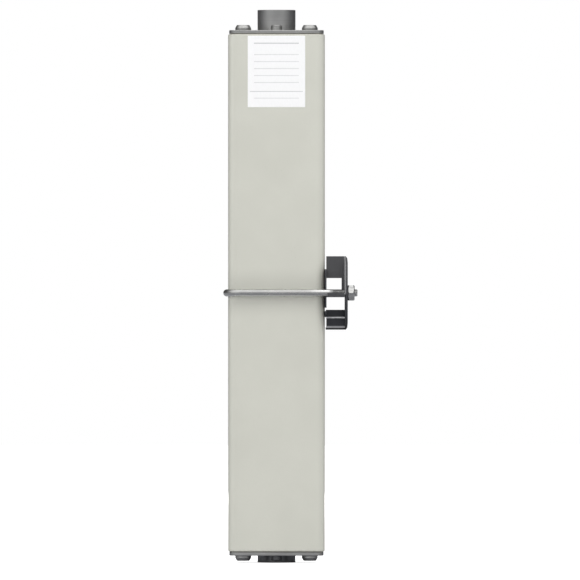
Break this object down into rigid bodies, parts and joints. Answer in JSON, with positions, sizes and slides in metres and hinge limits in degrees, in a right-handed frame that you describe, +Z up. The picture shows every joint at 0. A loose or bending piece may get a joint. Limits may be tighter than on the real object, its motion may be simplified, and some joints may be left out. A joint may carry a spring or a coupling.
{
  "type": "high-speed fuse",
  "caption": "Square ceramic fuse with a round tapped contact at each end and a rod-clamped switch holder at mid height.",
  "frame": {"origin": "centre of the bottom contact's end face, on the axis of its tapped hole", "axes": "+Z up the fuse to the top contact, +X towards the trip indicator and switch holder, -Y towards the label"},
  "size_m": [0.0846, 0.0766, 0.3491],
  "materials": {
    "ceramic": "fired, fine matt",
    "plate_metal": "tinned, satin",
    "contact_metal": "tin plated, turned",
    "screw_metal": "bright zinc",
    "gasket_fibre": "pressed fibre",
    "label_paper": "blank white",
    "copper_plate": "bare copper",
    "silver_strip": "bare silver strip",
    "quartz_sand": "grains",
    "sleeve_metal": "turned",
    "striker_metal": "turned",
    "spring_metal": "drawn wire",
    "rod_metal": "bright drawn",
    "nut_metal": "bright zinc",
    "holder_plastic": "moulded, black"
  },
  "bodies": {
    "fuse_body": {"bottom_contact": "contact_metal", "bottom_cover_screws": "screw_metal", "bottom_element_plate": "copper_plate", "bottom_end_plate": "plate_metal", "bottom_fill_plug": "plate_metal", "bottom_gasket": "gasket_fibre", "ceramic_body": "ceramic", "fuse_element_1": "silver_strip", "fuse_element_2": "silver_strip", "fuse_element_3": "silver_strip", "fuse_element_4": "silver_strip", "fuse_element_5": "silver_strip", "fuse_element_6": "silver_strip", "hoop_rod": "rod_metal", "indicator_cap": "sleeve_metal", "indicator_sleeve": "sleeve_metal", "rating_label": "label_paper", "restraining_wire": "spring_metal", "sand_fill": "quartz_sand", "striker_spring": "spring_metal", "switch_holder": "holder_plastic", "top_contact": "contact_metal", "top_cover_screws": "screw_metal", "top_element_plate": "copper_plate", "top_end_plate": "plate_metal", "top_fill_plug": "plate_metal", "top_gasket": "gasket_fibre"},
    "striker": {"striker_pin": "striker_metal"},
    "front_nut": {"front_clamp_nut": "nut_metal"},
    "rear_nut": {"rear_clamp_nut": "nut_metal"}
  },
  "joints": [
    {"name": "striker_slide", "type": "slide", "parent": "fuse_body", "child": "striker", "axis": [1, 0, 0], "range_m": [0, 0.0079], "deforming": ["striker_spring"]},
    {"name": "front_nut_turn", "type": "hinge", "parent": "fuse_body", "child": "front_nut", "pos_m": [0.04705, -0.0328, 0.1703], "axis": [1, 0, 0], "continuous": true},
    {"name": "rear_nut_turn", "type": "hinge", "parent": "fuse_body", "child": "rear_nut", "pos_m": [0.04705, 0.0328, 0.1703], "axis": [1, 0, 0], "continuous": true}
  ]
}
